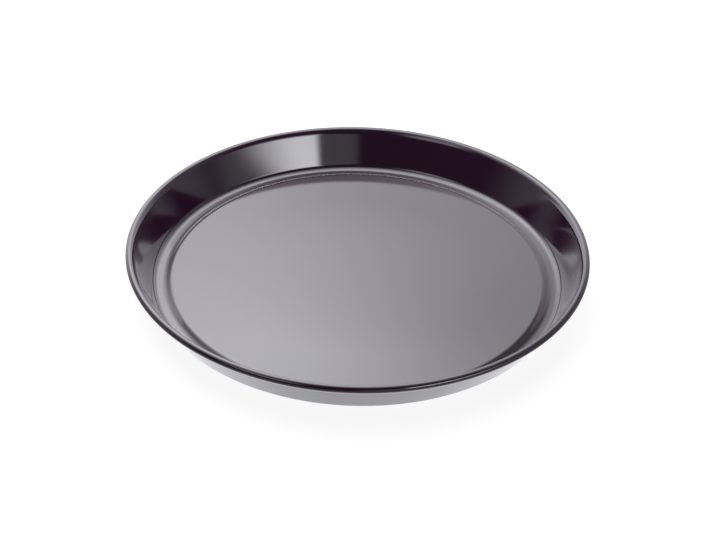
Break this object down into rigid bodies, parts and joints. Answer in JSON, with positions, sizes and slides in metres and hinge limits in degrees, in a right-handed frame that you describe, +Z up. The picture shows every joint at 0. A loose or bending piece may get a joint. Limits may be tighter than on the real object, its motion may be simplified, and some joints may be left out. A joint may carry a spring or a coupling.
{
  "type": "round baking tray",
  "caption": "Shallow round baking tray of drawn steel: flared wall, rim rolled over a wire, soft channel round a raised floor, glossy dark enamel all over.",
  "frame": {"origin": "on the table under the middle of the tray", "axes": "+Z up along the tray's axis; +X to the right and +Y to the back as the picture shows it"},
  "size_m": [0.27, 0.27, 0.025],
  "materials": {
    "drawn_steel": "cold rolled, drawn",
    "wire_steel": "drawn wire",
    "inner_enamel": "gloss vitreous enamel, plum black",
    "outer_enamel": "gloss vitreous enamel, plum black"
  },
  "bodies": {
    "root": {"steel_pressing": "drawn_steel", "rim_wire": "wire_steel", "inner_enamel_coat": "inner_enamel", "outer_enamel_coat": "outer_enamel"}
  },
  "joints": []
}
